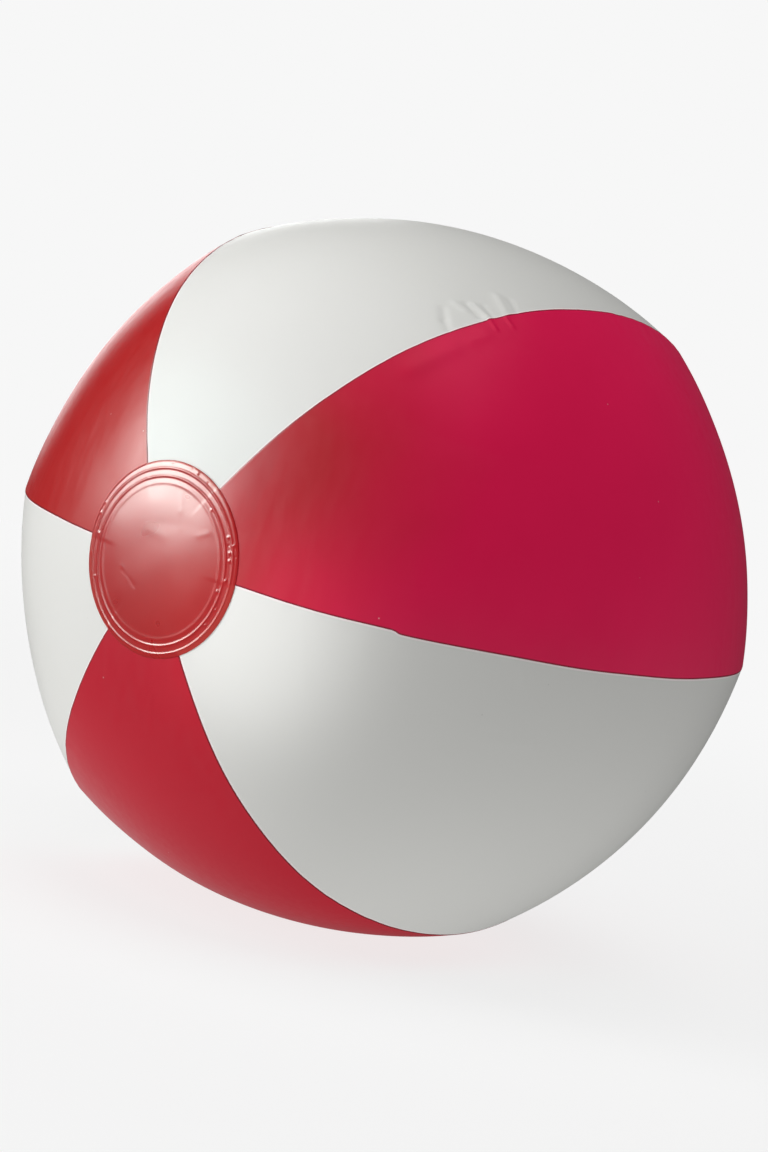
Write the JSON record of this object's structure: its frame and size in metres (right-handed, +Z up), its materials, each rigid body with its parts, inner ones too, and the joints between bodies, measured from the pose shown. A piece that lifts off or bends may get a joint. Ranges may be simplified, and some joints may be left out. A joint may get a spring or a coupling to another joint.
{
  "type": "beach ball",
  "caption": "Inflatable beach ball of alternating red and white welded film panels, with a red disc over each pole and a push-in inflation valve.",
  "frame": {"origin": "middle of the inflated ball, at the centre of its box", "axes": "+Z up, with the ball resting on the middle of its bottom red panel; the polar axis, where the panel tips meet under the two discs, lies along Y with the front disc at -Y; +X points to a seam on the equator"},
  "size_m": [0.2848, 0.2678, 0.2735],
  "materials": {
    "red_film": "satin PVC film, red",
    "white_film": "satin PVC film, white",
    "clear_pvc": "milky soft PVC, moulded"
  },
  "bodies": {
    "ball": {"top_white_panel": "white_film", "upper_right_red_panel": "red_film", "lower_right_white_panel": "white_film", "bottom_red_panel": "red_film", "lower_left_white_panel": "white_film", "upper_left_red_panel": "red_film", "front_disc": "red_film", "rear_disc": "red_film", "valve_flange": "clear_pvc", "valve_skirt": "clear_pvc"},
    "stem": {"valve_stem": "clear_pvc", "plug_strap": "clear_pvc"},
    "plug": {"valve_plug": "clear_pvc"},
    "flap": {"check_flap": "clear_pvc"}
  },
  "joints": [
    {"name": "stem_pull", "type": "slide", "parent": "ball", "child": "stem", "axis": [0, 0.7313, 0.6821], "range_m": [0, 0.012], "deforming": ["valve_skirt"]},
    {"name": "plug_swing", "type": "hinge", "parent": "stem", "child": "plug", "pos_m": [0, 0.10446, 0.09525], "axis": [-1, 0, 0], "range_deg": [0, 150], "deforming": ["plug_strap"]},
    {"name": "flap_swing", "type": "hinge", "parent": "stem", "child": "flap", "pos_m": [0, 0.0931, 0.08677], "axis": [1, 0, 0], "range_deg": [0, 60], "stiffness_Nm_per_rad": 0.00004}
  ]
}
